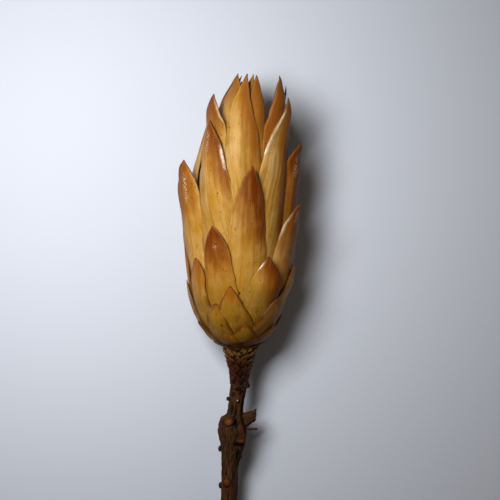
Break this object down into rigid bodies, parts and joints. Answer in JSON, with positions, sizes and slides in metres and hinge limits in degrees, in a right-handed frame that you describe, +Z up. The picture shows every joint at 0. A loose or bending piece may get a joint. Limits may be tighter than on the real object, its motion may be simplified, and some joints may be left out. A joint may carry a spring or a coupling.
{
  "type": "dried protea flower head on a stem",
  "caption": "Dried, closed protea head of overlapping pointed waxy bracts on a cut woody stem with a scaly neck, lying on its side.",
  "frame": {"origin": "on the surface it lies on, under the middle of the whole flower's box", "axes": "+Y from the stem's cut end to the tips of the bracts, +Z up from the surface, +X to the right in the picture"},
  "size_m": [0.0454, 0.1997, 0.0426],
  "materials": {
    "bracts": "dried waxy bract, straw to orange brown, satin",
    "stem_wood": "rough dark brown bark, matt"
  },
  "bodies": {
    "root": {"flower_head": "bracts", "stem": "stem_wood"}
  },
  "joints": []
}
